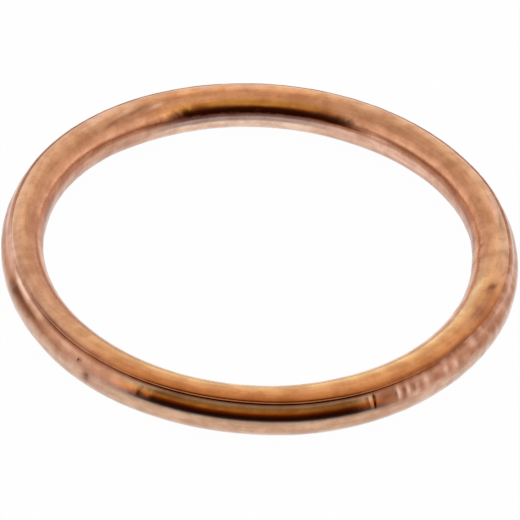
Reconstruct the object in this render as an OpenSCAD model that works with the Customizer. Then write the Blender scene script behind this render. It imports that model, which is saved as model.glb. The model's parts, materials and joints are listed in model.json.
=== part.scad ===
// Crush ring for an exhaust manifold: one copper sheet ring, drawn to a channel and folded shut.
// The section is a hollow tube. The outer flange is shrunk inwards to a bead, and the inner flange
// is flared outwards over its tucked end, so that the free edge makes a seam on the outer shoulder.
// Bottom seat at z = 0, axis on Z, front of the ring at -Y.

/* [Ring] */
// Diameter of the bore that the exhaust gas passes through
bore_d = 36; // [28:0.5:60]
// Width of the folded section, from the bore to the rim
section_w = 3.6; // [3:0.1:4.8]
// Height of the folded section before it is crushed
section_h = 3.9; // [3.2:0.1:4.8]

/* [Sheet] */
// Thickness of the copper sheet
sheet_t = 0.35; // [0.25:0.01:0.4]

/* [Fold] */
// Least width of the flat seat between the two lower corners
seat_w = 0.2; // [0.1:0.05:0.8]
// Least height of the straight wall at the bore
bore_land = 0.3; // [0.2:0.05:0.8]
// Height of the straight wall at the rim
rim_land = 0.25; // [0.2:0.05:0.4]
// Least width of the level strip on top of the band
top_flat = 0.15; // [0.1:0.05:0.4]

/* [Band] */
// Radius of the band's outer side, where it turns down to the seam
lap_r = 1.3; // [1:0.05:1.4]
// How far in from the rim that turn is centred
lap_set = 1.55; // [1.4:0.05:1.7]
// Where the free edge lies on that turn, as an angle up from level
edge_angle = 56; // [50:1:66]
// Radius of the free edge's round, over half the sheet
edge_crown = 0.02; // [0.01:0.01:0.1]

/* [Bead] */
// How far the crest of the bead lies under the top of the band
bead_drop = 0.7; // [0.6:0.01:0.8]
// How much larger the radius of the bead's flank is than that of its crest
flank_more = 0.6; // [0.4:0.05:0.7]
// Where the tucked end stops under the band, as an angle on the bead
tuck_angle = 130; // [110:1:150]

/* [Marks on the bead] */
// Half width of a pleat's groove
pleat_w = 0.12; // [0.12:0.01:0.18]
// Depth of a pleat on the shoulder of the bead
pleat_depth = 0.1; // [0.06:0.01:0.12]
// Half width of the sharp crease
crease_w = 0.12; // [0.12:0.01:0.18]
// Depth of the sharp crease
crease_depth = 0.12; // [0.06:0.01:0.12]
// Half width of the dent
dent_w = 0.22; // [0.16:0.01:0.3]
// Depth of the dent
dent_depth = 0.12; // [0.06:0.01:0.12]
// Where a mark is deepest on the bead, as an angle up from level
mark_angle = 52; // [46:1:56]
// Length of the cutter of a mark, along the slope of the bead
mark_len = 1; // [0.9:0.05:1]

/* [Hidden] */

$fn = 96;

// Steps round the ring in the preview
ring_fn = 240;

// Radii of the bore and the rim
bore_r = bore_d / 2;
rim_r = bore_r + section_w;

// Outside radius of the two lower corners, which leaves the seat and the wall their least sizes
corner_r = min(section_w - seat_w, section_h - bore_land) / 2;

// The band turns down to the seam about this point
lap_x = rim_r - lap_set;
lap_z = section_h - lap_r;

// Outside radius of the band's bend at the bore
crown_r = min(section_h - bore_land - corner_r, lap_x - bore_r - top_flat);

// The free edge is rounded about a point on the middle of the sheet, and its tip lies at the seam
edge_r = sheet_t / 2 + edge_crown;
edge_mid_r = lap_r - sheet_t / 2;
edge_start = edge_angle + edge_r / edge_mid_r * 180 / PI;

// The bead's flank and crest meet without a kink, where a triangle of sides 3, 4 and 5 points
join_dir = [4, 3] / 5;
join_angle = atan2(join_dir.y, join_dir.x);

// Outside radii of the bead: the flank starts above the rim's wall, and the crest ends at its height
bead_r = section_h - bead_drop - corner_r - rim_land - join_dir.y * flank_more;
flank_r = bead_r + flank_more;

// Centres of the flank and of the crest
flank_at = [rim_r - flank_r, corner_r + rim_land];
bead_at = flank_at + flank_more * join_dir;

// Azimuths of the marks on the bead, from +X by way of +Y: pleats, a sharp crease and a wide dent
pleat_az = [302, 304, 306, 309, 314, 318];
crease_az = 296;
dent_az = 231;

// A wedge from the origin, wider than a bend of radius r, to cut an arc from a circle
module sector(r, from_a, to_a) {
    mid_a = (from_a + to_a) / 2;
    polygon([[0, 0], for (a = [from_a, mid_a, to_a]) 2 * r * [cos(a), sin(a)]]);
}

// A whole turn of the sheet with outside radius r
module turn(r) {
    difference() {
        circle(r = r);
        circle(r = r - sheet_t);
    }
}

// A bend of the sheet: outside radius r about the point at
module bend(at, r, from_a, to_a) {
    translate(at)
        intersection() {
            turn(r);
            sector(r, from_a, to_a);
        }
}

// The band's turn down to the seam, which ends in the rounded free edge
module lap() {
    translate([lap_x, lap_z])
        intersection() {
            turn(lap_r);
            union() {
                sector(lap_r, edge_start, 90);
                translate(edge_mid_r * [cos(edge_start), sin(edge_start)])
                    circle(r = edge_r);
            }
        }
}

// A level stretch of the sheet with its underside at height z
module level(x0, x1, z) {
    translate([x0, z])
        square([x1 - x0, sheet_t]);
}

// An upright stretch of the sheet with its inner side at radius x
module upright(x, z0, z1) {
    translate([x, z0])
        square([sheet_t, z1 - z0]);
}

// Outer flange: rim corner, rim wall, flank and crest of the bead, and its tucked end
module outer_flange() {
    bend([rim_r - corner_r, corner_r], corner_r, -90, 0);
    upright(rim_r - sheet_t, corner_r, flank_at.y);
    bend(flank_at, flank_r, 0, join_angle);
    bend(bead_at, bead_r, join_angle, tuck_angle);
}

// Inner flange: bore corner, bore wall, smooth band and its free edge over the bead
module inner_flange() {
    bend([bore_r + corner_r, corner_r], corner_r, 180, 270);
    upright(bore_r, corner_r, section_h - crown_r);
    bend([bore_r + crown_r, section_h - crown_r], crown_r, 90, 180);
    level(bore_r + crown_r, lap_x, section_h - sheet_t);
    lap();
}

// The folded strip of sheet in section: one flange, the seat and the other flange
module strip() {
    outer_flange();
    level(bore_r + corner_r, rim_r - corner_r, 0);
    inner_flange();
}

// A straight round-bottomed groove over the shoulder of the bead, which runs out at both ends
module groove(az, w, depth) {
    rotate([0, 0, az])
        translate([bead_at.x, 0, bead_at.y])
            rotate([0, -mark_angle, 0])
                translate([bead_r + w - depth, 0, 0])
                    cylinder(r = w, h = mark_len, center = true);
}

// All the marks that folding left
module marks() {
    for (az = pleat_az)
        groove(az, pleat_w, pleat_depth);
    groove(crease_az, crease_w, crease_depth);
    groove(dent_az, dent_w, dent_depth);
}

// The whole gasket, one piece of copper
module crush_ring() {
    color("#c07f5a")
        difference() {
            rotate_extrude($fn = ring_fn)
                strip();
            marks();
        }
}

crush_ring();
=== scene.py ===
# %% [markdown]
# # A folded copper crush ring
# The object is the gasket between an exhaust pipe and its port: one strip of copper sheet, drawn to a
# channel and folded shut round a hollow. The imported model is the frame: this script reads its sizes
# from it, and models a ring with the marks of folding in the same place.

# %% Load the frame
import json
import math

import bmesh
import bpy
from mathutils import Matrix, Vector


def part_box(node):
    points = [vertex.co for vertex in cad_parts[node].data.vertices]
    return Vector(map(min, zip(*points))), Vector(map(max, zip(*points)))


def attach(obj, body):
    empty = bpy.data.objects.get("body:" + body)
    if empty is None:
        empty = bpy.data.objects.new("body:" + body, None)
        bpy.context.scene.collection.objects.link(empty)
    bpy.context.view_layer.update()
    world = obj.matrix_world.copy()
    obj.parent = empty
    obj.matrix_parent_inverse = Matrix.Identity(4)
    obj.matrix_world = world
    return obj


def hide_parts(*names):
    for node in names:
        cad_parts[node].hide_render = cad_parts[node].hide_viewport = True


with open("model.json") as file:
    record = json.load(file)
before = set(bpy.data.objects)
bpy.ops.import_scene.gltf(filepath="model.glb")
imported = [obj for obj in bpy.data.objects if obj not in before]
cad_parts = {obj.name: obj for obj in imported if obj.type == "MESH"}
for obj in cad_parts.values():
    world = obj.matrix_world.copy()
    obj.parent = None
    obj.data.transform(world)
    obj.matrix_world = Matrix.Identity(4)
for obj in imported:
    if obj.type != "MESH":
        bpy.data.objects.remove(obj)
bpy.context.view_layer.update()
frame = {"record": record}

# %% [markdown]
# ## The sizes of the folded strip
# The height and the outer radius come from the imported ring, and the bore's radius from its mount. The
# sheet's thickness and the radii of the bends are the ones that the ring is built with. Every bend is
# an arc, so the whole section follows from these few sizes. Only the free edge ends a little lower
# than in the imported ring, at 51 degrees and not 56, as in the photograph.

# %% Sizes
MM = 0.001
low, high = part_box("crush_ring")
bore_mount = next(m for m in frame["record"]["mounts"] if m["name"] == "bore")

rim_r = high.x
bore_r = bore_mount["dims"]["r_mm"] * MM
height = high.z - low.z
width = rim_r - bore_r

sheet = 0.35 * MM
seat = 0.2 * MM
bore_land = 0.3 * MM
rim_land = 0.25 * MM
corner_r = min(width - seat, height - bore_land) / 2

# the band: a bend at the bore, and a smaller one down to the seam
lap_r = 1.3 * MM
lap_set = 1.55 * MM
lap_x = rim_r - lap_set
lap_z = height - lap_r
crown_r = height - bore_land - corner_r
edge_angle = 51.0
edge_crown = 0.02 * MM

# the bead: a flank and a crest, which meet where a triangle of sides 3, 4 and 5 points
bead_drop = 0.7 * MM
flank_more = 0.6 * MM
join_angle = math.degrees(math.atan2(3, 4))
bead_r = height - bead_drop - corner_r - rim_land - 0.6 * flank_more
flank_r = bead_r + flank_more
flank_at = (rim_r - flank_r, corner_r + rim_land)
bead_at = (flank_at[0] + 0.8 * flank_more, flank_at[1] + 0.6 * flank_more)
tuck_angle = 130.0
print(f"rim {rim_r / MM:.2f} mm, bore {bore_r / MM:.2f} mm, height {height / MM:.2f} mm")
print(f"corners {corner_r / MM:.2f} mm, crown {crown_r / MM:.2f} mm, "
      f"bead {bead_r / MM:.2f} mm on a flank of {flank_r / MM:.2f} mm")

# %% [markdown]
# ## The camera
# It stands 40 degrees above the floor with a long lens, and is rolled a little. The numbers come from
# fitting a ring of this section to the outlines in the photograph.

# %% Camera
centre = Vector((0, 0, height / 2))
cam_up = math.radians(39.65)
cam_roll = math.radians(3.59)
cam_pitch = math.radians(-0.489)
cam_yaw = math.radians(0.050)
cam_distance = 7.63 * rim_r
pixels_per_rim = 257.88
picture_width = 520


def camera_axes():
    """The camera's right, up and forward: aimed at the ring's centre, then pitched, yawed and rolled."""
    forward = Vector((0, math.cos(cam_up), -math.sin(cam_up)))
    right = Vector((1, 0, 0))
    up = Vector((0, math.sin(cam_up), math.cos(cam_up)))
    place = centre - forward * cam_distance
    pitched = forward * math.cos(cam_pitch) + up * math.sin(cam_pitch)
    upper = up * math.cos(cam_pitch) - forward * math.sin(cam_pitch)
    aimed = pitched * math.cos(cam_yaw) + right * math.sin(cam_yaw)
    across = right * math.cos(cam_yaw) - pitched * math.sin(cam_yaw)
    rolled_right = across * math.cos(cam_roll) + upper * math.sin(cam_roll)
    rolled_up = upper * math.cos(cam_roll) - across * math.sin(cam_roll)
    return place, rolled_right, rolled_up, aimed


cam_data = bpy.data.cameras.new("camera")
cam_data.sensor_width = 36
cam_data.lens = pixels_per_rim * cam_distance / rim_r * cam_data.sensor_width / picture_width
cam_data.clip_start = 0.005
camera = bpy.data.objects.new("camera", cam_data)
bpy.context.scene.collection.objects.link(camera)
place, right, up, forward = camera_axes()
camera.matrix_world = Matrix(((right.x, up.x, -forward.x, place.x),
                              (right.y, up.y, -forward.y, place.y),
                              (right.z, up.z, -forward.z, place.z),
                              (0, 0, 0, 1)))
bpy.context.scene.camera = camera
print(f"camera {cam_distance / MM:.0f} mm away, lens {cam_data.lens:.1f} mm")

# %% [markdown]
# ## Small helpers for node trees
# A node tree is easier to read when a sum or a mix is one short call. Each helper adds a node, joins
# or sets its inputs, and gives back the output that the next call needs. The ring and its copper share
# them, because both work from the same angles.

# %% Node helpers
def feed(tree, socket, value):
    """Joins a socket to another, or sets its value."""
    if isinstance(value, bpy.types.NodeSocket):
        tree.links.new(value, socket)
    else:
        socket.default_value = value


def add(tree, kind, inputs=None, **settings):
    """A new node with its settings, and with its inputs fed by name or by number."""
    node = tree.nodes.new(kind)
    for name, value in settings.items():
        setattr(node, name, value)
    for name, value in (inputs or {}).items():
        feed(tree, node.inputs[name], value)
    return node


def maths(tree, operation, a, b=0.0, c=0.0):
    """One Math node."""
    node = add(tree, "ShaderNodeMath", operation=operation)
    for socket, value in zip(node.inputs, (a, b, c)):
        feed(tree, socket, value)
    return node.outputs[0]


def times(tree, value, *others):
    for other in others:
        value = maths(tree, "MULTIPLY", value, other)
    return value


def plus(tree, value, *others):
    for other in others:
        value = maths(tree, "ADD", value, other)
    return value


def minus(tree, a, b):
    return maths(tree, "SUBTRACT", a, b)


def between(tree, share, a, b):
    """The number a where the share is 0, b where it is 1, and a mix of them between."""
    return add(tree, "ShaderNodeMix", {0: share, 2: a, 3: b}).outputs[0]


def ramp(tree, value, low_in, high_in, low_out=0.0, high_out=1.0):
    """A smooth step from one number to another, flat at both ends."""
    spans = {"Value": value, "From Min": low_in, "From Max": high_in, "To Min": low_out, "To Max": high_out}
    return add(tree, "ShaderNodeMapRange", spans, interpolation_type="SMOOTHSTEP").outputs["Result"]


# %% [markdown]
# ## Places on the ring
# Everything that happens to the ring is told by azimuth, the angle round it from +X by way of +Y, so
# the front is at 270 degrees and the right at 0. Three more helpers turn a place into its azimuth and
# back, and mark a stretch of the ring.

# %% Place helpers
def azimuth_of(tree, turned):
    """An angle in radians, as degrees from 0 to 360."""
    return maths(tree, "WRAP", maths(tree, "DEGREES", turned), 360.0, 0.0)


def on_circle(tree, radius, turned, z=0.0):
    """The place at a radius, an angle in radians and a height."""
    x = times(tree, radius, maths(tree, "COSINE", turned))
    y = times(tree, radius, maths(tree, "SINE", turned))
    return add(tree, "ShaderNodeCombineXYZ", {"X": x, "Y": y, "Z": z}).outputs[0]


def stretch(tree, azimuth, start, full, fade, end):
    """1 along a stretch of the ring, with soft ends, and 0 past them."""
    return times(tree, ramp(tree, azimuth, start, full), ramp(tree, azimuth, fade, end, 1.0, 0.0))


# %% [markdown]
# ## The outline of the strip
# The section is one closed line: out along the underside, up the rim, over the bead, in to the tucked
# end, back inside the hollow, out to the free edge and over the band to the bore. The points carry
# what the next steps need to know: the slope of the surface there, which flange it belongs to, how
# near the free edge it lies, and whether it is on the outside.

# %% Strip outline
outline = []


def point(r, z, slope, side=1, band=0.0, lip=0.0, skin=1.0):
    """One point of the section; slope is the angle of its outward normal up from level, in degrees."""
    a = math.radians(slope)
    outline.append({"r": r, "z": z, "out_r": side * math.cos(a), "out_z": side * math.sin(a),
                    "slope": slope, "band": band, "lip": lip, "skin": skin})


def bend(centre, r, start, end, steps, side=1, first=True, lip=(0.0, 0.0), **tags):
    """Points along an arc; side is -1 where the outside of the metal faces the arc's centre."""
    for k in range(0 if first else 1, steps + 1):
        t = k / steps
        slope = start + (end - start) * t
        a = math.radians(slope)
        point(centre[0] + r * math.cos(a), centre[1] + r * math.sin(a), slope, side,
              lip=lip[0] + (lip[1] - lip[0]) * t, **tags)


edge_r = sheet / 2 + edge_crown
mid_r = lap_r - sheet / 2
edge_start = edge_angle + math.degrees(edge_r / mid_r)
edge_at = (lap_x + mid_r * math.cos(math.radians(edge_start)),
           lap_z + mid_r * math.sin(math.radians(edge_start)))
rim_corner, bore_corner = (rim_r - corner_r, corner_r), (bore_r + corner_r, corner_r)
crown_at = (bore_r + crown_r, height - crown_r)
lap_at = (lap_x, lap_z)
hidden_from = 107
# where the free edge's round begins and ends, and where the band takes over, in degrees off its start
round_back, round_front, band_gap = 152, 30, 2.5

# outside of the outer flange, which is hidden under the band past 107 degrees
bend(rim_corner, corner_r, -90, 0, 9)
bend(flank_at, flank_r, 0, join_angle, 5)
bend(bead_at, bead_r, join_angle, hidden_from, 12, first=False)
bend(bead_at, bead_r, hidden_from, tuck_angle, 1, first=False, skin=0)
# inside of the hollow
bend(bead_at, bead_r - sheet, tuck_angle, join_angle, 3, side=-1, skin=0)
bend(flank_at, flank_r - sheet, join_angle, 0, 1, side=-1, first=False, skin=0)
bend(rim_corner, corner_r - sheet, 0, -90, 3, side=-1, skin=0)
bend(bore_corner, corner_r - sheet, 270, 180, 3, side=-1, skin=0, band=1)
bend(crown_at, crown_r - sheet, 180, 90, 3, side=-1, skin=0, band=1)
bend(lap_at, lap_r - sheet, 90, edge_start, 2, side=-1, skin=0, band=1, lip=(0, 0.75))
# the rounded free edge, the band and the bore
bend(edge_at, edge_r, edge_start - round_back, edge_start - round_front, 5, band=1, lip=(1, 1))
bend(lap_at, lap_r, edge_start - band_gap, 90, 7, band=1, lip=(0.8, 0))
bend(crown_at, crown_r, 90, 180, 18, band=1)
bend(bore_corner, corner_r, 180, 270, 7, band=1)
print(len(outline), "points in the section")

# %% [markdown]
# ## The section as a mesh
# The ring follows a rule, so geometry nodes make it: the section is swept round a circle, and then
# the points are moved by rules that depend on where they lie on the ring and in the section. The
# section goes in as a loop of edges, with what its points carry as attributes. The length of the
# strip up to each point is added, for the streaks of the copper.

# %% Section mesh
section_mesh = bpy.data.meshes.new("strip_section")
section_mesh.from_pydata([(p["r"] - rim_r, p["z"], 0) for p in outline],
                         [(k, (k + 1) % len(outline)) for k in range(len(outline))], [])
run = [0.0]
for here, there in zip(outline, outline[1:]):
    run.append(run[-1] + math.hypot(there["r"] - here["r"], there["z"] - here["z"]))
for p, length in zip(outline, run):
    p["run"] = length
CARRIED = ("r", "z", "out_r", "out_z", "slope", "band", "lip", "skin", "run")
for name in CARRIED:
    layer = section_mesh.attributes.new("at_" + name, "FLOAT", "POINT")
    layer.data.foreach_set("value", [p[name] for p in outline])
maker = bpy.data.objects.new("strip_section", section_mesh)
bpy.context.scene.collection.objects.link(maker)
print(f"strip drawn round: {run[-1] / MM:.1f} mm")

# %% [markdown]
# ## One mark of the folding tools
# Pleats, bumps, creases and dents differ only in place, size and sharpness. So they share one node
# group: a rise or fall that fades out round the ring and over the slope of the section. The copper
# uses the same group for its stains and for its painted shade and highlights, so the group is built
# for either kind of tree.

# %% Mark group
def mark_group(kind):
    """The node group of one mark, for a geometry tree or a shader tree."""
    tree = bpy.data.node_groups.new("mark", kind)
    for name in ("Azimuth", "Slope", "At azimuth", "Half width", "At slope", "Reach", "Lean", "Height"):
        tree.interface.new_socket(name, in_out="INPUT", socket_type="NodeSocketFloat")
    tree.interface.new_socket("Rise", in_out="OUTPUT", socket_type="NodeSocketFloat")
    start, end = add(tree, "NodeGroupInput"), add(tree, "NodeGroupOutput")
    g = start.outputs
    up = minus(tree, g["Slope"], g["At slope"])
    away = maths(tree, "WRAP", minus(tree, g["Azimuth"], g["At azimuth"]), 180.0, -180.0)
    leaning = minus(tree, away, times(tree, up, g["Lean"]))
    along = maths(tree, "DIVIDE", leaning, g["Half width"])
    across = maths(tree, "DIVIDE", up, g["Reach"])
    fall = plus(tree, times(tree, along, along), times(tree, across, across))
    rise = times(tree, g["Height"], maths(tree, "EXPONENT", times(tree, fall, -1.0)))
    tree.links.new(rise, end.inputs["Rise"])
    return tree


def all_marks(tree, group, kind, azimuth, slope, marks):
    """The sum of the marks in a list, at a place given by its azimuth and slope."""
    total = 0.0
    for at_azimuth, half, at_slope, reach, tall, *lean in marks:
        values = {"Azimuth": azimuth, "Slope": slope, "At azimuth": at_azimuth, "Half width": half,
                  "At slope": float(at_slope), "Reach": float(reach), "Lean": lean[0] if lean else 0.0,
                  "Height": tall}
        total = plus(tree, add(tree, kind, values, node_tree=group).outputs["Rise"], total)
    return total


# %% [markdown]
# ## The marks on this ring
# The tools that shrank the outer flange left pleats across the bead at the front right, a sharp crease
# beside them and a few dents at the left. The band has low ridges and dents of its own where it was
# pressed down. Each mark is a row of its azimuth and half width in degrees, the slope where it is
# strongest, its reach over the slope, its height in millimetres and, where it has one, its lean.

# %% Mark lists
BEAD_MARKS = [
    (296.2, 0.3, 50, 26, -0.045), (295.4, 0.5, 54, 18, 0.015), (297.1, 0.5, 54, 18, 0.01),
    (302.2, 0.75, 46, 26, 0.045), (303.4, 0.3, 42, 28, -0.02), (304.6, 0.75, 44, 26, 0.045),
    (305.9, 0.3, 38, 28, -0.02), (307.0, 0.8, 46, 22, 0.03), (309.4, 0.9, 44, 24, 0.05),
    (311.2, 0.7, 40, 24, -0.03), (313.2, 0.6, 36, 16, 0.02), (315.0, 0.9, 44, 22, 0.05),
    (316.6, 0.6, 38, 24, -0.03), (318.1, 0.9, 44, 22, 0.05), (320.0, 0.7, 36, 22, -0.03),
    (324.5, 1.2, 60, 26, 0.05), (326.5, 0.9, 60, 26, -0.03), (231.4, 0.55, 40, 16, -0.12),
    (234.0, 0.6, 6, 14, -0.07), (202.3, 0.8, 50, 26, -0.12), (208.0, 4.0, 42, 16, -0.05),
]
BAND_MARKS = [
    (14.0, 4.5, 84, 9, 0.05, -0.25), (7.5, 1.6, 88, 7, -0.05, -0.15), (342.2, 0.9, 90, 8, -0.04, -0.1),
    (348.0, 0.9, 76, 10, -0.04, -0.1), (332.0, 3.0, 84, 12, -0.05), (91.0, 15.0, 151, 6, 0.03),
    (92.0, 2.0, 151, 6, 0.02), (122.0, 2.2, 112, 12, 0.04, 0.3), (131.0, 2.2, 100, 12, 0.04, 0.3),
    (140.0, 2.6, 92, 12, 0.04, 0.3),
]
print(len(BEAD_MARKS), "marks on the bead,", len(BAND_MARKS), "on the band")

# %% [markdown]
# ## Curves round the ring
# A thin folded ring is never a true circle, and its surface is lumpy in some places and calm in
# others. Such slow changes are curves over the azimuth, each through a few points of degrees and
# hundredths, which are hundredths of a millimetre for a length. The curve closes on itself. How far
# the rim and the bore are out of round was read off a scratch script, which compared the photograph's
# outline with a true ring's. The other curves were set one by one.

# %% Curves over the azimuth
# how far the rim and the bore lie outside their circles
OUTER_DRIFT = [
    (5, 7), (20, 7), (35, -3), (70, -5), (100, -4), (150, 12), (170, -1), (210, -16), (235, -2),
    (265, -4), (285, 6), (320, 0), (345, 8),
]
INNER_DRIFT = [
    (0, -10), (28, 18), (50, 6), (72, 0), (120, -2), (150, 17), (178, 1), (215, 0), (270, 9), (290, -5),
    (315, -17), (338, -25), (352, -21),
]
# how much of the lumps the bead and the band have
LUMPY_BEAD = [
    (10, 70), (180, 45), (205, 60), (225, 90), (246, 40), (256, 6), (294, 6), (301, 70), (310, 98),
    (345, 98),
]
LUMPY_BAND = [
    (0, 70), (18, 70), (40, 22), (80, 22), (100, 60), (145, 60), (165, 30), (200, 30), (235, 8),
    (318, 10), (335, 50),
]
# how far the free edge and the bead are pressed together: shut at the right and left, ajar at the front
PRESSED = [
    (20, 26), (150, 26), (180, 26), (195, 23), (206, 20.5), (225, 19.5), (243, 18), (256, 17), (286, 17),
    (297, 17.5), (306, 19.5), (316, 22), (326, 25), (345, 26),
]


def round_curve(tree, azimuth, points):
    """The value of a closed curve at an azimuth, in whole units for points in hundredths."""
    node = add(tree, "ShaderNodeFloatCurve", {"Value": maths(tree, "DIVIDE", azimuth, 360.0)})
    curve = node.mapping.curves[0]
    node.mapping.extend = "HORIZONTAL"
    (first, first_value), (last, last_value) = points[0], points[-1]
    seam_value = (last_value * first + first_value * (360 - last)) / (first + 360 - last)
    full = [(0, seam_value)] + points + [(360, seam_value)]
    while len(curve.points) < len(full):
        curve.points.new(0.5, 0.5)
    for spot, (at, value) in zip(curve.points, full):
        spot.location = (at / 360, 0.5 + value / 100)
    node.mapping.update()
    return minus(tree, node.outputs[0], 0.5)


print("most out of round:", max(abs(value) for _, value in OUTER_DRIFT + INNER_DRIFT) / 100, "mm")

# %% [markdown]
# ## The sweep
# A circle's points are spread evenly, and the pleats are the finest shapes on the ring. So the steps
# are drawn together there with a sine, which leaves them wider on the far side. Their number follows
# from the triangles that the ring may have, a little under the 200,000 for one piece.

# %% Sweep
TRIANGLES = 196000
RING_INPUTS = {
    "Steps round": TRIANGLES // (2 * len(outline)),
    "Rim radius": rim_r,
    "Gather": 0.45,
    "Gather at": 300.0,
    "Out of round": 1.0,
    "Mark depth": MM,
    "Lip wander": 0.05 * MM,
    "Lump": 0.16 * MM,
    "Askew": 0.12 * MM,
    "Seed": 7.0,
}


def sweep_round(tree, g):
    """The section swept round a circle."""
    circle = add(tree, "GeometryNodeCurvePrimitiveCircle",
                 {"Resolution": g["Steps round"], "Radius": g["Rim radius"]})
    index = add(tree, "GeometryNodeInputIndex").outputs[0]
    turn = maths(tree, "DIVIDE", times(tree, index, math.tau), g["Steps round"])
    from_pleats = minus(tree, turn, maths(tree, "RADIANS", g["Gather at"]))
    turned = minus(tree, turn, times(tree, g["Gather"], maths(tree, "SINE", from_pleats)))
    placed = add(tree, "GeometryNodeSetPosition",
                 {"Geometry": circle.outputs["Curve"], "Position": on_circle(tree, g["Rim radius"], turned)})
    upright = add(tree, "GeometryNodeSetCurveNormal", {"Curve": placed.outputs[0]}, mode="Z_UP")
    section = add(tree, "GeometryNodeMeshToCurve", {"Mesh": g["Geometry"]})
    return add(tree, "GeometryNodeCurveToMesh",
               {"Curve": upright.outputs[0], "Profile Curve": section.outputs[0]}).outputs[0]


print(RING_INPUTS["Steps round"], "steps round the ring")

# %% [markdown]
# ## What the folding did to the surface
# The marks and the lumps move the outside of the sheet along its own normal, and leave the inside
# alone. The lumps are a noise with a fixed seed, and they fade out at the bottom, so that the ring
# stands flat.

# %% Marks and lumps
lump_scale = 900.0
lumps_from, lumps_full = 0.1 * MM, 0.8 * MM
ring_marks = mark_group("GeometryNodeTree")


def marks_and_lumps(tree, g, here, p):
    """How far the outside rises, in metres."""
    on_bead = all_marks(tree, ring_marks, "GeometryNodeGroup", here, p["slope"], BEAD_MARKS)
    on_band = all_marks(tree, ring_marks, "GeometryNodeGroup", here, p["slope"], BAND_MARKS)
    marks = times(tree, between(tree, p["band"], on_bead, on_band), times(tree, g["Mark depth"], p["skin"]))
    noise = add(tree, "ShaderNodeTexNoise", {"Scale": lump_scale, "Detail": 3.0, "W": g["Seed"]},
                noise_dimensions="4D").outputs[0]
    share = between(tree, p["band"], round_curve(tree, here, LUMPY_BEAD), round_curve(tree, here, LUMPY_BAND))
    lumps = times(tree, minus(tree, noise, 0.5), times(tree, p["skin"], g["Lump"]), share,
                  ramp(tree, p["z"], lumps_from, lumps_full))
    return plus(tree, marks, lumps)


print("marks and lumps: noise of scale", lump_scale)

# %% [markdown]
# ## Pressed shut
# The free edge is pressed down over the bead, and the bead swells up under it. At the front the two
# stand a little apart and the seam is a dark line. At the right and the upper left they meet, and the
# seam runs out. The free edge also wanders a little, as a sheared edge does.

# %% Free edge
press_in, press_down = 0.55, 0.83
press_share = 0.5
crest_slope, crest_reach = 84.0, 20.0
swell_from, swell_rate = 0.10 * MM, 3.0
wander_scale = 250.0


def pressed_shut(tree, here, p):
    """How far the free edge goes down, and how far the bead rises under it, in metres."""
    shut = times(tree, round_curve(tree, here, PRESSED), MM)
    press = times(tree, times(tree, shut, press_share), times(tree, p["lip"], p["lip"]))
    off_crest = maths(tree, "DIVIDE", minus(tree, p["slope"], crest_slope), crest_reach)
    at_crest = maths(tree, "EXPONENT", times(tree, off_crest, off_crest, -1.0))
    rise = times(tree, maths(tree, "MAXIMUM", minus(tree, shut, swell_from), 0.0), swell_rate)
    return press, times(tree, rise, at_crest, minus(tree, 1.0, p["band"]))


def edge_wander(tree, g, p):
    """How far the free edge strays outwards or inwards, in metres."""
    seed = plus(tree, g["Seed"], 3.0)
    noise = add(tree, "ShaderNodeTexNoise", {"Scale": wander_scale, "Detail": 3.0, "W": seed},
                noise_dimensions="4D").outputs[0]
    return times(tree, minus(tree, noise, 0.5), p["lip"], g["Lip wander"])


print("pressed together by", min(value for _, value in PRESSED) / 100, "to",
      max(value for _, value in PRESSED) / 100, "mm")

# %% [markdown]
# ## Out of round
# The rim and the bore drift from their circles, each by its own curve, and the metal between them
# follows both. At the back the wall of the bore stands a little askew, with its foot inwards.

# %% Drift of the rim and the bore
share_over = 0.6 * MM
back_wall = (48.0, 70.0, 116.0, 140.0)
foot_full, foot_from = 1.7 * MM, 3.0 * MM


def out_of_round(tree, g, here, p):
    """How far a point lies outside its circle, in metres."""
    middle = minus(tree, g["Rim radius"], width / 2)
    outer_share = ramp(tree, minus(tree, p["r"], middle), -share_over, share_over)
    outer = times(tree, round_curve(tree, here, OUTER_DRIFT), MM, outer_share)
    inner = times(tree, round_curve(tree, here, INNER_DRIFT), MM, minus(tree, 1.0, outer_share))
    return times(tree, plus(tree, outer, inner), g["Out of round"])


def back_foot(tree, g, here, p):
    """How far the foot of the back wall stands inwards, in metres."""
    foot = ramp(tree, p["z"], foot_full, foot_from, 1.0, 0.0)
    return times(tree, foot, times(tree, stretch(tree, here, *back_wall), p["band"]), g["Askew"])


print("back wall askew from", back_wall[0], "to", back_wall[-1], "degrees")

# %% [markdown]
# ## The ring's tree
# Now the steps go together: sweep the section, read where each point lies and what it carries, add up
# its moves, and put it in its new place. The tree has a named input for each size, and it ends in
# Realize Instances and Set Material.

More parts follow.
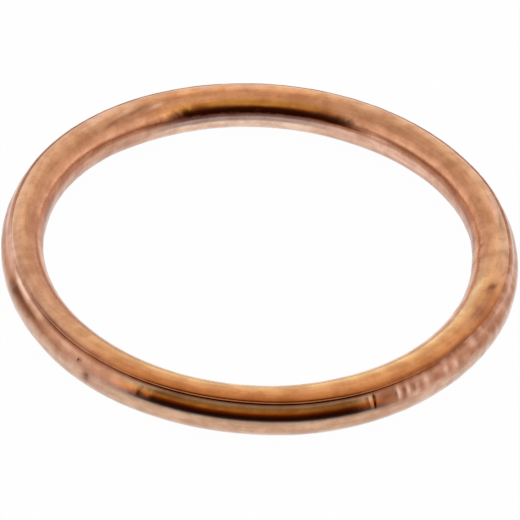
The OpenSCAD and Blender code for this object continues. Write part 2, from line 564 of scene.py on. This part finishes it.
# %% Ring tree
def ring_tree(material):
    tree = bpy.data.node_groups.new("folded_ring", "GeometryNodeTree")
    face = tree.interface
    face.new_socket("Geometry", in_out="INPUT", socket_type="NodeSocketGeometry")
    for name, value in RING_INPUTS.items():
        kind = "NodeSocketInt" if isinstance(value, int) else "NodeSocketFloat"
        face.new_socket(name, in_out="INPUT", socket_type=kind).default_value = value
    face.new_socket("Geometry", in_out="OUTPUT", socket_type="NodeSocketGeometry")
    start, end = add(tree, "NodeGroupInput"), add(tree, "NodeGroupOutput")
    g = start.outputs
    swept = sweep_round(tree, g)

    # where each point lies, and what it carries
    xyz = add(tree, "ShaderNodeSeparateXYZ", {0: add(tree, "GeometryNodeInputPosition").outputs[0]}).outputs
    turned = maths(tree, "ARCTAN2", xyz[1], xyz[0])
    here = azimuth_of(tree, turned)
    p = {}
    for name in CARRIED:
        reader = add(tree, "GeometryNodeInputNamedAttribute", {"Name": "at_" + name}, data_type="FLOAT")
        p[name] = reader.outputs["Attribute"]

    # its moves, outwards and up
    press, swell = pressed_shut(tree, here, p)
    outward = plus(tree, marks_and_lumps(tree, g, here, p), swell)
    drift = out_of_round(tree, g, here, p)
    move_r = plus(tree, drift, times(tree, outward, p["out_r"]), edge_wander(tree, g, p))
    move_r = minus(tree, minus(tree, move_r, times(tree, press, press_in)), back_foot(tree, g, here, p))
    new_r = plus(tree, p["r"], move_r)
    new_z = plus(tree, p["z"], times(tree, outward, p["out_z"]))
    new_z = minus(tree, new_z, times(tree, press, press_down))

    moved = add(tree, "GeometryNodeSetPosition",
                {"Geometry": swept, "Position": on_circle(tree, new_r, turned, new_z)})
    smooth = add(tree, "GeometryNodeSetShadeSmooth", {"Geometry": moved.outputs[0]})
    real = add(tree, "GeometryNodeRealizeInstances", {"Geometry": smooth.outputs[0]})
    finish = add(tree, "GeometryNodeSetMaterial", {"Geometry": real.outputs[0], "Material": material})
    tree.links.new(finish.outputs[0], end.inputs[0])
    return tree


# %% [markdown]
# ## Helpers for colour
# The slope of the section says where the surface is: on the rim, the bead, the band or the bore. A
# finish can so be told as a row of colours over the slope, which a colour ramp blends. Two smaller
# helpers mix colours and read what the points of the ring carry.

# %% Colour helpers
def colour_over(tree, value, stops):
    """A colour that runs over a value through stops of (value, red, green, blue)."""
    low_stop, high_stop = stops[0][0], stops[-1][0]
    share = add(tree, "ShaderNodeMapRange", {"Value": value, "From Min": low_stop, "From Max": high_stop})
    node = add(tree, "ShaderNodeValToRGB", {"Fac": share.outputs["Result"]})
    bar = node.color_ramp.elements
    while len(bar) < len(stops):
        bar.new(0.5)
    for element, stop in zip(bar, stops):
        element.position = (stop[0] - low_stop) / (high_stop - low_stop)
        element.color = (*stop[1:], 1)
    return node.outputs["Color"]


def blend(tree, share, a, b, how="MIX"):
    """The colour a where the share is 0, and b mixed with it or multiplied into it where it is 1."""
    node = add(tree, "ShaderNodeMix", data_type="RGBA", blend_type=how)
    for index, value in ((0, share), (6, a), (7, b)):
        feed(tree, node.inputs[index], value)
    return node.outputs[2]


def attribute(tree, name):
    """A number that the points of the ring carry."""
    return add(tree, "ShaderNodeAttribute", attribute_name=name).outputs["Fac"]


# %% [markdown]
# ## The copper's tarnish, and painted light
# The sheet is bare rolled copper: pink where it is fresh, tan to brown where the oxide is thicker. Its
# colours run over the slope of the section, and much of their change is painted light. At the front
# the bead has a dark line of painted reflection low down, an orange shoulder that is partly tarnish and
# partly painted reflection, and painted shade under the free edge, and the brown of the free edge is
# painted shade along the seam. All round, the band has a painted highlight on its edge at the bore,
# with darker painted reflection just inside it. On the back wall of the bore a dark band of painted
# reflection lies above a pale painted reflection of the floor at its foot. So the bead has two finishes
# and the band three, and each holds along its stretch of the ring. The colours began as measurements:
# the photograph's colour at places on the ring was divided by what plain grey metal mirrors there in
# this studio, which leaves the copper's colour together with the shade and reflection that this studio
# does not give. The colours began as measurements: a scratch script divided the photograph's colour at
# places on the ring by what plain grey metal mirrors there in this studio, which leaves the copper's own
# colour. The stops were written from these numbers and then corrected. Those of the band's main finish are
# still close to them.

# %% Finishes over the slope
# slope in degrees, red, green, blue
# most of the bead: copper tone, with painted shade under the free edge in the dark stops from 80 degrees up
BEAD_COLOURS_WITH_PAINTED_SHADE = [
    (-60, 0.6, 0.38, 0.3), (0, 0.66, 0.44, 0.33), (14, 0.6, 0.36, 0.25), (30, 0.48, 0.22, 0.13),
    (42, 0.55, 0.27, 0.16), (62, 0.66, 0.33, 0.2), (80, 0.52, 0.23, 0.13), (92, 0.4, 0.15, 0.06),
    (110, 0.25, 0.08, 0.03),
]
# front of the bead: a dark painted reflection from 13 to 24 degrees, an orange shoulder from 30 to 50 that is
# partly tarnish and partly painted reflection, a pale painted highlight from 57 to 70, and painted shade under
# the free edge from 77 to 94
BEAD_FRONT_WITH_PAINTED_LIGHT = [
    (-60, 0.6, 0.42, 0.36), (0, 0.66, 0.42, 0.28), (9, 0.56, 0.38, 0.28), (13, 0.34, 0.25, 0.2),
    (18, 0.18, 0.12, 0.1), (24, 0.3, 0.12, 0.07), (30, 0.6, 0.16, 0.04), (36, 0.88, 0.25, 0.03),
    (43, 0.84, 0.27, 0.035), (50, 0.74, 0.32, 0.073), (57, 0.7, 0.41, 0.145), (63, 0.7, 0.45, 0.26),
    (70, 0.58, 0.37, 0.24), (77, 0.23, 0.1, 0.055), (83, 0.055, 0.015, 0.007), (94, 0.12, 0.04, 0.015),
    (106, 0.4, 0.14, 0.05),
]
# most of the band: copper tone, with a painted highlight at 149 degrees on the edge of the bore and darker
# painted reflection just inside it, at 164 to 171
BAND_COLOURS_WITH_PAINTED_LIGHT = [
    (-60, 0.4, 0.19, 0.11), (0, 0.42, 0.2, 0.12), (24, 0.55, 0.3, 0.19), (56, 0.66, 0.4, 0.27),
    (74, 0.75, 0.46, 0.3), (96, 0.79, 0.43, 0.24), (108, 0.66, 0.33, 0.175), (118, 0.58, 0.28, 0.15),
    (130, 0.6, 0.29, 0.16), (140, 0.72, 0.36, 0.21), (149, 0.88, 0.46, 0.28), (156, 0.74, 0.37, 0.21),
    (164, 0.47, 0.21, 0.115), (171, 0.46, 0.21, 0.12), (180, 0.62, 0.36, 0.26), (235, 0.62, 0.38, 0.28),
]
# front of the band: the brown of the free edge, up to 58 degrees, is painted shade along the seam, and the pale
# yellow from 108 to 127 degrees is a painted highlight on the band's inner edge
BAND_FRONT_WITH_PAINTED_LIGHT = [
    (-60, 0.2, 0.06, 0.02), (-5, 0.28, 0.085, 0.028), (12, 0.46, 0.15, 0.05), (35, 0.46, 0.15, 0.05),
    (52, 0.42, 0.13, 0.036), (58, 0.48, 0.15, 0.042), (63, 0.56, 0.185, 0.052), (69, 0.64, 0.23, 0.07),
    (76, 0.71, 0.29, 0.105), (84, 0.72, 0.3, 0.115), (92, 0.75, 0.35, 0.145), (100, 0.81, 0.43, 0.18),
    (108, 0.9, 0.56, 0.27), (117, 0.93, 0.66, 0.37), (127, 0.88, 0.56, 0.34), (140, 0.76, 0.45, 0.3),
    (160, 0.66, 0.38, 0.26), (235, 0.66, 0.42, 0.32),
]
# back of the band: a gold painted highlight from 133 to 151 degrees, a dark band of painted reflection on the
# wall of the bore from 158 to 177, and a pale painted reflection of the floor below it
BAND_BACK_WITH_PAINTED_LIGHT = [
    (60, 0.8, 0.5, 0.3), (80, 0.85, 0.5, 0.28), (94, 0.92, 0.46, 0.22), (109, 0.72, 0.32, 0.15),
    (121, 0.77, 0.36, 0.18), (133, 0.9, 0.43, 0.17), (141, 0.92, 0.43, 0.12), (147, 1.0, 0.5, 0.16),
    (151, 0.95, 0.4, 0.11), (158, 0.5, 0.16, 0.05), (168, 0.2, 0.08, 0.06), (172, 0.14, 0.07, 0.06),
    (177, 0.22, 0.13, 0.11), (181, 0.44, 0.31, 0.27), (186, 0.76, 0.55, 0.44), (191, 0.84, 0.6, 0.45),
    (235, 0.7, 0.46, 0.36),
]
# where each finish holds, in degrees round the ring: starts, is full, fades and ends
FRONT_OF_BEAD = (232.0, 250.0, 296.0, 306.0)
FRONT_OF_BAND = (210.0, 250.0, 335.0, 358.0)
BACK_OF_BAND = (62.0, 84.0, 112.0, 130.0)
finishes = (BEAD_COLOURS_WITH_PAINTED_SHADE, BEAD_FRONT_WITH_PAINTED_LIGHT, BAND_COLOURS_WITH_PAINTED_LIGHT, BAND_FRONT_WITH_PAINTED_LIGHT, BAND_BACK_WITH_PAINTED_LIGHT)
print(len(finishes), "finishes with", sum(len(stops) for stops in finishes), "stops")

# %% [markdown]
# ## Stains and painted light
# Handling and folding left stains: red where the copper was worked, red-brown beside the crease, and a
# brown patch on the bead at the left. The other spots are painted light: brown painted shade in the
# dents, in the valleys between the pleats, beside the band's ridges and along the seam; pale pink on the
# crests and at the left, partly rubbed wear and partly painted highlight; painted reflection of the
# floor on the foot of the back wall; and gold painted highlights where the bead is brightest. Each
# colour has one list for the bead and one for the band. A spot is told as a mark is, and its height is
# its strength.

# %% Stain lists
STAINS_AND_PAINTED_LIGHT = [
    # redder where the fold was worked
    ((0.46, 0.2, 0.12, 1), [
        (322.0, 18.0, 52, 44, 0.5), (299.2, 2.6, 58, 26, 0.8), (306.0, 8.0, 50, 34, 0.6),
        (187.5, 2.5, 70, 14, 0.7), (192.0, 9.0, 28, 18, 0.6),
    ], [
        (203.0, 13.0, 84, 46, 0.5), (187.5, 2.5, 60, 12, 0.7), (332.0, 6.0, 84, 16, 0.7),
        (180.0, 20.0, 160, 9, 0.8), (12.0, 24.0, 165, 10, 0.7), (359.2, 0.8, 131, 8, 0.8, -0.1),
        (355.0, 1.0, 60, 8, 0.6), (348.0, 1.0, 74, 9, 0.7, -0.1), (322.0, 6.0, 56, 12, 0.8),
    ]),
    # brown: painted shade in the dents, in the valleys between the pleats and beside the band's ridges, a
    # little painted reflection on the back wall of the bore, and a brown patch on the bead at the left
    ((0.2, 0.07, 0.035, 1), [
        (206.5, 5.0, 42, 19, 1.0), (203.6, 1.6, 32, 24, 0.8), (214.0, 4.0, 40, 12, 0.8),
        (231.4, 0.8, 42, 12, 1.0), (234.0, 0.9, 8, 14, 1.0), (301.2, 0.3, 40, 26, 0.2),
        (303.4, 0.3, 38, 26, 0.3), (305.9, 0.3, 34, 26, 0.3),
    ], [
        (342.4, 1.1, 90, 6, 0.7, -0.15), (7.0, 2.0, 84, 5, 0.4, -0.15), (50.0, 16.0, 157, 4, 0.6),
        (127.0, 2.0, 113, 8, 0.5, 0.3), (136.0, 2.0, 122, 8, 0.5, 0.3),
    ]),
    # painted shade: the soft brown line along the seam, on the bead under the free edge and on the free edge,
    # and beside the band's dents at the right; and red-brown stretches beside the crease
    ((0.27, 0.09, 0.04, 1), [
        (221.0, 20.0, 82, 11, 1.0), (311.0, 13.0, 81, 10, 0.9), (299.4, 2.0, 46, 26, 0.85),
        (289.0, 7.0, 40, 12, 0.45),
    ], [
        (221.0, 18.0, 57, 9, 1.0), (313.0, 15.0, 57, 10, 0.8), (334.0, 5.0, 84, 11, 0.4),
        (342.0, 3.0, 90, 8, 0.35),
    ]),
    # pale pink: on the crests of the pleats and the band's ridges partly rubbed wear and partly painted
    # highlight, painted highlights along the bead and the band's shoulder at the left, and painted reflection
    # of the floor on the foot of the back wall
    ((1.0, 0.66, 0.52, 1), [
        (302.2, 0.6, 44, 24, 1.0), (304.6, 0.6, 42, 24, 1.0), (307.0, 0.6, 44, 20, 0.5),
        (309.4, 0.8, 42, 24, 0.9), (315.0, 0.7, 42, 20, 0.6), (318.1, 0.8, 42, 20, 0.6),
        (324.5, 1.0, 60, 20, 0.6), (295.4, 0.5, 54, 10, 0.6), (306.0, 1.0, 16, 10, 0.5),
        (312.0, 1.2, 14, 9, 0.4), (192.0, 9.0, 84, 12, 0.7), (204.0, 5.0, 74, 8, 0.8),
        (212.0, 6.0, 72, 9, 0.7), (236.0, 9.0, 36, 26, 0.35), (226.0, 3.0, 62, 12, 0.35),
    ], [
        (192.0, 8.0, 60, 8, 0.7), (189.0, 14.0, 142, 4, 0.8), (14.0, 4.5, 84, 7, 0.7, -0.25),
        (95.0, 4.0, 90, 6, 0.7), (107.0, 1.5, 88, 6, 0.7), (122.0, 2.0, 118, 7, 0.5, 0.3),
        (131.0, 2.4, 106, 7, 0.5, 0.3), (140.0, 3.0, 96, 9, 0.5, 0.3), (57.0, 4.0, 166, 4, 0.8),
        (48.0, 24.0, 187, 10, 0.8),
    ]),
    # gold painted highlights: on the crest of the bead at the front left, and on the band at the back
    ((1.0, 0.52, 0.1, 1), [
        (251.5, 1.5, 50, 6, 0.7), (255.5, 1.8, 49, 6, 0.8), (260.0, 1.5, 48, 6, 0.8),
        (264.0, 1.2, 46, 5, 0.4),
    ], [
        (94.0, 16.0, 142, 4, 0.5), (92.0, 2.2, 145, 3, 0.9),
    ]),
]
print(sum(len(bead) + len(band) for _, bead, band in STAINS_AND_PAINTED_LIGHT), "stains")


# %% [markdown]
# ## Tarnish and painted light by place
# The finishes, with the painted light that they carry, are blended first, round the ring and then from
# the bead to the band. The stains and painted light go over them one colour at a time, each with the
# sum of its marks as its share.

# %% Tarnish
def tarnish_and_painted_light(tree, here, slope, band):
    """The copper's colour by place, with its painted shade, highlights and reflections, before wear."""
    on_bead = blend(tree, stretch(tree, here, *FRONT_OF_BEAD),
                    colour_over(tree, slope, BEAD_COLOURS_WITH_PAINTED_SHADE), colour_over(tree, slope, BEAD_FRONT_WITH_PAINTED_LIGHT))
    on_band = blend(tree, stretch(tree, here, *FRONT_OF_BAND),
                    colour_over(tree, slope, BAND_COLOURS_WITH_PAINTED_LIGHT), colour_over(tree, slope, BAND_FRONT_WITH_PAINTED_LIGHT))
    on_band = blend(tree, stretch(tree, here, *BACK_OF_BAND), on_band, colour_over(tree, slope, BAND_BACK_WITH_PAINTED_LIGHT))
    base = blend(tree, band, on_bead, on_band)
    group = mark_group("ShaderNodeTree")
    for colour, bead_stains_and_light, band_stains_and_light in STAINS_AND_PAINTED_LIGHT:
        share = between(tree, band, all_marks(tree, group, "ShaderNodeGroup", here, slope, bead_stains_and_light),
                        all_marks(tree, group, "ShaderNodeGroup", here, slope, band_stains_and_light))
        base = blend(tree, maths(tree, "MINIMUM", share, 1.0), base, colour)
    return base


# %% [markdown]
# ## Wear
# No part of the sheet is even. A cloudy noise gives the mottles, and a second one, stretched along the
# ring, gives the streaks of rolling and folding. Together they darken the colour a little or leave it.
# Where the fold was hammered shut, at the right, small dark and pale specks are added.

# %% Wear
MOTTLED = (0.81, 0.71, 0.65, 1)
CLEAN = (1.06, 1.04, 1.02, 1)
DARK_SPECK = (0.34, 0.15, 0.09, 1)
PALE_SPECK = (1.0, 0.68, 0.54, 1)
mottle_scale, streak_scale, speck_scale = 700.0, 260.0, 1100.0
mottle_share = 0.6
streak_pull = 7.0
# the hammered stretch starts and ends on either side of 0 degrees, and leaves out the top of the band
hammered_start, hammered_end = (300.0, 314.0), (12.0, 28.0)
top_of_band = (76.0, 96.0)
dark_most, pale_most = 0.30, 0.26


def patches(tree, place, xyz, run_m):
    """Mottles and streaks in one number, which stays near a half."""
    mottle = add(tree, "ShaderNodeTexNoise",
                 {"Vector": place, "Scale": mottle_scale, "Detail": 4.0, "Roughness": 0.6}).outputs[0]
    along = add(tree, "ShaderNodeCombineXYZ",
                {"X": xyz[0], "Y": xyz[1], "Z": times(tree, run_m, streak_pull)}).outputs[0]
    streak = add(tree, "ShaderNodeTexNoise",
                 {"Vector": along, "Scale": streak_scale, "Detail": 3.0, "Roughness": 0.55}).outputs[0]
    return plus(tree, times(tree, mottle, mottle_share), times(tree, streak, 1 - mottle_share))


def wear(tree, base, worn_by, place, here, slope, band):
    """The colour with its mottles, streaks and specks."""
    mottled = blend(tree, 1.0, base, MOTTLED, "MULTIPLY")
    clean = blend(tree, 1.0, base, CLEAN, "MULTIPLY")
    worn = blend(tree, ramp(tree, worn_by, 0.38, 0.62), mottled, clean)

    speck = add(tree, "ShaderNodeTexNoise",
                {"Vector": place, "Scale": speck_scale, "Detail": 1.0, "Roughness": 0.4}).outputs[0]
    starts, ends = ramp(tree, here, *hammered_start), ramp(tree, here, *hammered_end, 1.0, 0.0)
    hammered = maths(tree, "MAXIMUM", starts, ends)
    hammered = times(tree, hammered, minus(tree, 1.0, times(tree, band, ramp(tree, slope, *top_of_band))))
    dark = times(tree, hammered, ramp(tree, speck, 0.22, 0.54, dark_most, 0.0))
    worn = blend(tree, dark, worn, DARK_SPECK)
    on_bead = minus(tree, 1.0, band)
    pale = times(tree, hammered, times(tree, on_bead, ramp(tree, speck, 0.44, 0.80, 0.0, pale_most)))
    return blend(tree, pale, worn, PALE_SPECK)


# %% [markdown]
# ## Gloss
# The copper is a metal all over, so its look comes from what it mirrors. It is brighter where it is
# clean, a little duller on the band, and most polished on the front of the bead and the back wall of
# the bore, which show the dark side of the studio as a clear line. A fine grain is the only bump.

# %% Gloss
dull, bright = 0.22, 0.15
band_duller, bead_brighter, bore_brighter = 0.07, 0.08, 0.12
BACK_OF_BORE = (50.0, 66.0, 118.0, 134.0)
bore_slopes = (128.0, 142.0)
grain_scale, grain_strength, grain_height = 1500.0, 0.25, 0.03 * MM


def roughness(tree, worn_by, here, slope, band):
    """How blurred the copper's reflections are, by wear and by place."""
    soft = plus(tree, ramp(tree, worn_by, 0.35, 0.65, dull, bright), times(tree, band, band_duller))
    bead_front = times(tree, stretch(tree, here, *FRONT_OF_BEAD), minus(tree, 1.0, band))
    soft = minus(tree, soft, times(tree, bead_front, bead_brighter))
    bore_back = times(tree, ramp(tree, slope, *bore_slopes), stretch(tree, here, *BACK_OF_BORE))
    return minus(tree, soft, times(tree, bore_back, bore_brighter))


finest = min(bright - bead_brighter, bright + band_duller - bore_brighter)
print(f"roughness from {finest:.2f} to {dull + band_duller:.2f}")

# %% [markdown]
# ## The copper
# One material joins the three. Its places are read from the Object coordinates and from what the
# points carry, so the finish stays on the ring in every view.

# %% Copper material
def copper_material():
    material = bpy.data.materials.new("copper_sheet")
    material.use_nodes = True
    tree = material.node_tree
    tree.nodes.clear()
    out = add(tree, "ShaderNodeOutputMaterial")
    shader = add(tree, "ShaderNodeBsdfPrincipled", {"Metallic": 1.0})
    tree.links.new(shader.outputs[0], out.inputs[0])

    place = add(tree, "ShaderNodeTexCoord").outputs["Object"]
    xyz = add(tree, "ShaderNodeSeparateXYZ", {0: place}).outputs
    here = azimuth_of(tree, maths(tree, "ARCTAN2", xyz[1], xyz[0]))
    slope, band, run_m = attribute(tree, "at_slope"), attribute(tree, "at_band"), attribute(tree, "at_run")

    worn_by = patches(tree, place, xyz, run_m)
    colour = wear(tree, tarnish_and_painted_light(tree, here, slope, band), worn_by, place, here, slope, band)
    tree.links.new(colour, shader.inputs["Base Color"])
    tree.links.new(roughness(tree, worn_by, here, slope, band), shader.inputs["Roughness"])
    grain = add(tree, "ShaderNodeTexNoise", {"Vector": place, "Scale": grain_scale, "Detail": 3.0}).outputs[0]
    bump = add(tree, "ShaderNodeBump", {"Height": grain, "Strength": grain_strength, "Distance": grain_height})
    tree.links.new(bump.outputs[0], shader.inputs["Normal"])
    return material


copper = copper_material()
print("copper:", len(copper.node_tree.nodes), "nodes")

# %% [markdown]
# ## Make the ring
# The modifier's inputs are set by their sockets' identifiers, before anything is worked out. The
# result is taken over as a plain mesh at the origin, and the section that made it is removed.

# %% Make the ring
ring_nodes = ring_tree(copper)
sweeper = maker.modifiers.new("sweep", "NODES")
sweeper.node_group = ring_nodes
sockets = {item.name: item.identifier for item in ring_nodes.interface.items_tree if item.in_out == "INPUT"}
for name, value in RING_INPUTS.items():
    sweeper[sockets[name]] = value
bpy.context.view_layer.update()
swept = maker.evaluated_get(bpy.context.evaluated_depsgraph_get())
ring_mesh = bpy.data.meshes.new_from_object(swept)
maker.modifiers.remove(sweeper)
bpy.data.objects.remove(maker)
ring = bpy.data.objects.new("folded_ring", ring_mesh)
bpy.context.scene.collection.objects.link(ring)
print("ring made with", len(sockets), "inputs")

# %% [markdown]
# ## Faces outwards
# A sweep may leave a shape inside out, which shows as a negative volume. So the volume is measured,
# the faces are turned if they need it, and the open edges are counted, of which there should be none.

# %% Check the mesh
work = bmesh.new()
work.from_mesh(ring_mesh)
volume = work.calc_volume(signed=True)
open_edges = sum(1 for edge in work.edges if not edge.is_manifold)
print(f"ring: {len(work.verts)} points, {len(work.faces)} faces, {open_edges} open edges, "
      f"volume {volume / MM ** 3:.1f} mm3")
if volume < 0:
    bmesh.ops.reverse_faces(work, faces=work.faces)
    work.to_mesh(ring_mesh)
    print("faces turned outwards")
work.free()
lows = [min(v.co[k] for v in ring_mesh.vertices) / MM for k in range(3)]
highs = [max(v.co[k] for v in ring_mesh.vertices) / MM for k in range(3)]
print("ring box, mm:", [round(v, 2) for v in lows], [round(v, 2) for v in highs])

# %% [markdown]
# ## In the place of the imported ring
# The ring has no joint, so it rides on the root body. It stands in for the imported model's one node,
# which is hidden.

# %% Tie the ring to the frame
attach(ring, "root")
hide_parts("crush_ring")
print("the folded ring stands in for crush_ring")

# %% [markdown]
# ## Floor
# A plain white sheet with a slight gloss. To the camera and to mirrors it shows as white, and the rest
# of its light is scattered, so that it keeps the ring's soft shadow. Seen along its surface, as the
# walls of the ring see it, such a sheet turns into a mirror of what stands round it. Inside the ring
# it stays matt at the front, where the bright edge of the band would else be lost. It is clear from
# below, so that the underside of the ring can be looked at.

# %% Floor
floor_size = 1.5
floor_colour = (0.85, 0.85, 0.85, 1)
shown_white = 0.98
mirror_from, mirror_full, mirror_most = 0.68, 0.90, 0.96
mirror_blur = 0.15
# the gloss fades in from the middle at the back, and under the ring elsewhere
back_from, back_spread = 6 * MM, (0.2 * rim_r, 0.45 * rim_r)
under_ring = (0.85 * rim_r, rim_r)


def floor_gloss(tree):
    """1 where the floor has its gloss: outside the ring, and inside it at the back."""
    place = add(tree, "ShaderNodeTexCoord").outputs["Object"]
    x, y, _ = add(tree, "ShaderNodeSeparateXYZ", {0: place}).outputs
    radius = maths(tree, "SQRT", plus(tree, times(tree, x, x), times(tree, y, y)))
    at_back = times(tree, ramp(tree, y, 0.0, back_from), ramp(tree, radius, *back_spread))
    return maths(tree, "MAXIMUM", ramp(tree, radius, *under_ring), at_back)


def floor_material():
    material = bpy.data.materials.new("white_floor")
    material.use_nodes = True
    tree = material.node_tree
    tree.nodes.clear()
    out = add(tree, "ShaderNodeOutputMaterial")
    matt = add(tree, "ShaderNodeBsdfDiffuse", {"Color": floor_colour})
    white = add(tree, "ShaderNodeEmission", {"Color": (1, 1, 1, 1), "Strength": 1.0})
    rays = add(tree, "ShaderNodeLightPath").outputs
    mirrored = maths(tree, "MAXIMUM", rays["Is Glossy Ray"], rays["Is Transmission Ray"])
    seen = maths(tree, "MAXIMUM", rays["Is Camera Ray"], mirrored)
    sheet_white = add(tree, "ShaderNodeMixShader",
                      {"Fac": times(tree, seen, shown_white), 1: matt.outputs[0], 2: white.outputs[0]})

    facing = add(tree, "ShaderNodeLayerWeight", {"Blend": 0.5}).outputs["Facing"]
    off_camera = minus(tree, 1.0, rays["Is Camera Ray"])
    share = times(tree, ramp(tree, facing, mirror_from, mirror_full, 0.0, mirror_most),
                  times(tree, floor_gloss(tree), off_camera))
    gloss = add(tree, "ShaderNodeBsdfGlossy", {"Color": (1, 1, 1, 1), "Roughness": mirror_blur})
    above = add(tree, "ShaderNodeMixShader", {"Fac": share, 1: sheet_white.outputs[0], 2: gloss.outputs[0]})

    from_below = add(tree, "ShaderNodeNewGeometry").outputs["Backfacing"]
    clear = add(tree, "ShaderNodeBsdfTransparent")
    both_sides = add(tree, "ShaderNodeMixShader", {"Fac": from_below, 1: above.outputs[0], 2: clear.outputs[0]})
    tree.links.new(both_sides.outputs[0], out.inputs[0])
    return material


floor_mesh = bpy.data.meshes.new("floor")
corners = [(-floor_size, -floor_size, 0), (floor_size, -floor_size, 0),
           (floor_size, floor_size, 0), (-floor_size, floor_size, 0)]
floor_mesh.from_pydata(corners, [], [(0, 1, 2, 3)])
floor_mesh.materials.append(floor_material())
floor = bpy.data.objects.new("floor", floor_mesh)
bpy.context.scene.collection.objects.link(floor)
print(f"floor {2 * floor_size:.0f} m square")

# %% [markdown]
# ## Light
# Soft studio light from all round, with a dark corner behind the camera. Metal shows what is round
# it, so the dark corner gives the dark line on the front of the ring and inside its back wall, which
# the copper's colours deepen with painted reflection. Its levels were first read from what the ring
# mirrors in the photograph, and then set one by one. The camera itself sees the studio as plain
# white, like the floor.

# %% World
# brightness by height above the horizon, in degrees: at the sides, behind the ring, on the camera's side
SKY = [
    (0, 0.96, 0.95, 0.94), (40, 0.92, 0.91, 0.9), (65, 0.82, 0.81, 0.79), (90, 0.74, 0.72, 0.69),
]
SKY_BEHIND = [
    (0, 1.0, 1.0, 1.0), (40, 0.96, 0.96, 0.95), (65, 0.84, 0.83, 0.81), (90, 0.74, 0.72, 0.69),
]
CAMERA_SIDE = [
    (0, 0.035, 0.016, 0.014), (14, 0.045, 0.02, 0.015), (23, 0.09, 0.05, 0.03), (32, 0.24, 0.15, 0.09),
    (42, 0.44, 0.34, 0.22), (54, 0.56, 0.49, 0.38), (72, 0.69, 0.66, 0.6), (90, 0.74, 0.72, 0.69),
]
# the dark corner's ends at the left and right, in degrees away from the camera's side
corner_left = (-52.0, -36.0)
corner_right = (40.0, 56.0)
behind_full = 0.7


def world_light():
    world = bpy.data.worlds.new("studio")
    bpy.context.scene.world = world
    world.use_nodes = True
    tree = world.node_tree
    tree.nodes.clear()
    out = add(tree, "ShaderNodeOutputWorld")
    sky = add(tree, "ShaderNodeBackground", {"Strength": 1.0})
    tree.links.new(sky.outputs[0], out.inputs[0])
    way = add(tree, "ShaderNodeTexCoord").outputs["Generated"]
    x, y, z = add(tree, "ShaderNodeSeparateXYZ", {0: way}).outputs
    up_angle = maths(tree, "DEGREES", maths(tree, "ARCSINE", z))
    aside = maths(tree, "DEGREES", maths(tree, "ARCTAN2", x, times(tree, y, -1.0)))
    in_corner = times(tree, ramp(tree, aside, *corner_left), ramp(tree, aside, *corner_right, 1.0, 0.0))
    behind = ramp(tree, y, 0.0, behind_full)
    open_sky = blend(tree, behind, colour_over(tree, up_angle, SKY), colour_over(tree, up_angle, SKY_BEHIND))
    studio = blend(tree, in_corner, open_sky, colour_over(tree, up_angle, CAMERA_SIDE))
    seen = add(tree, "ShaderNodeLightPath").outputs["Is Camera Ray"]
    tree.links.new(blend(tree, seen, studio, (1, 1, 1, 1)), sky.inputs["Color"])
    return world


studio = world_light()
bpy.context.scene.view_settings.view_transform = "Standard"
print("world:", len(studio.node_tree.nodes), "nodes")
